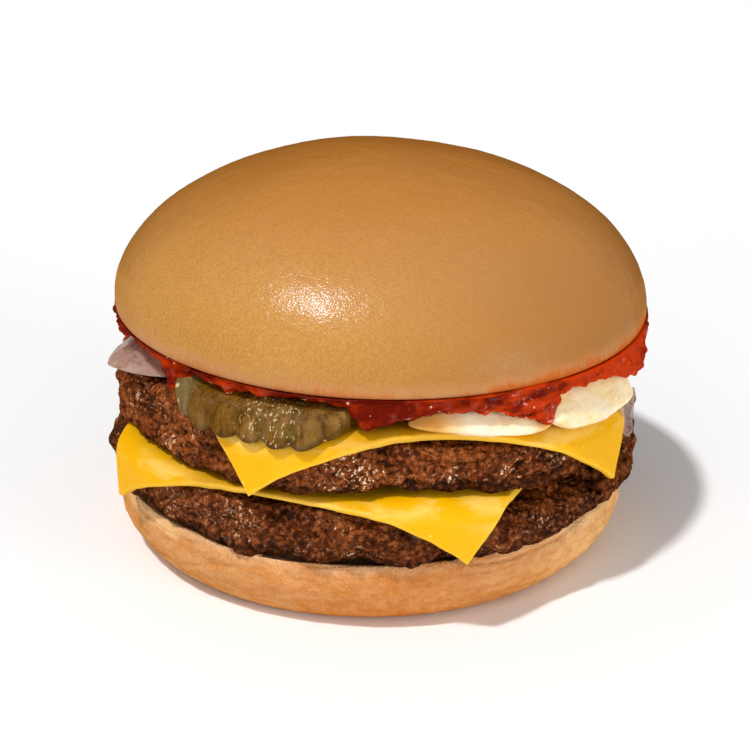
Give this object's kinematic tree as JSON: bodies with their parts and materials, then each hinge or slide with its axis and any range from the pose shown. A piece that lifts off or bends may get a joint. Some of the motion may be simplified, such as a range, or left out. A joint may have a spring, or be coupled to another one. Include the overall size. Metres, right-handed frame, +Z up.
{
  "type": "double cheeseburger",
  "caption": "Stacked cheeseburger: domed bun crown and rounded heel around browned beef patties, draped cheese slices, ketchup, onion and crinkle-cut pickle.",
  "frame": {"origin": "centre of the bun heel's flat underside, where the burger rests", "axes": "+Z up through the stack; -Y towards the front, where the pickle shows under the crown; +X to the right seen from the front, the side that sags"},
  "size_m": [0.1013, 0.1021, 0.0731],
  "materials": {
    "bun_heel": "dry soft toasted crust",
    "bun_crown": "satin browned crust with fine pores",
    "beef_lower": "rough browned ground beef, moist in places",
    "beef_upper": "rough browned ground beef, moist in places",
    "cheese_slice_lower": "smooth softly glossy melted slice",
    "cheese_slice_upper": "smooth softly glossy melted slice",
    "pickle_chip": "wet, ridged",
    "onion_wedge": "wet, translucent",
    "onion_sliver": "wet, translucent",
    "onion_piece": "wet, translucent",
    "onion_scrap": "thin, translucent",
    "sauce": "wet glossy ketchup"
  },
  "bodies": {
    "root": {"heel": "bun_heel", "patty_lower": "beef_lower", "cheese_lower": "cheese_slice_lower", "patty_upper": "beef_upper", "cheese_upper": "cheese_slice_upper", "pickle": "pickle_chip", "onion_left": "onion_wedge", "onion_front": "onion_sliver", "onion_right": "onion_piece", "onion_skin": "onion_scrap", "ketchup": "sauce", "crown": "bun_crown"}
  },
  "joints": []
}
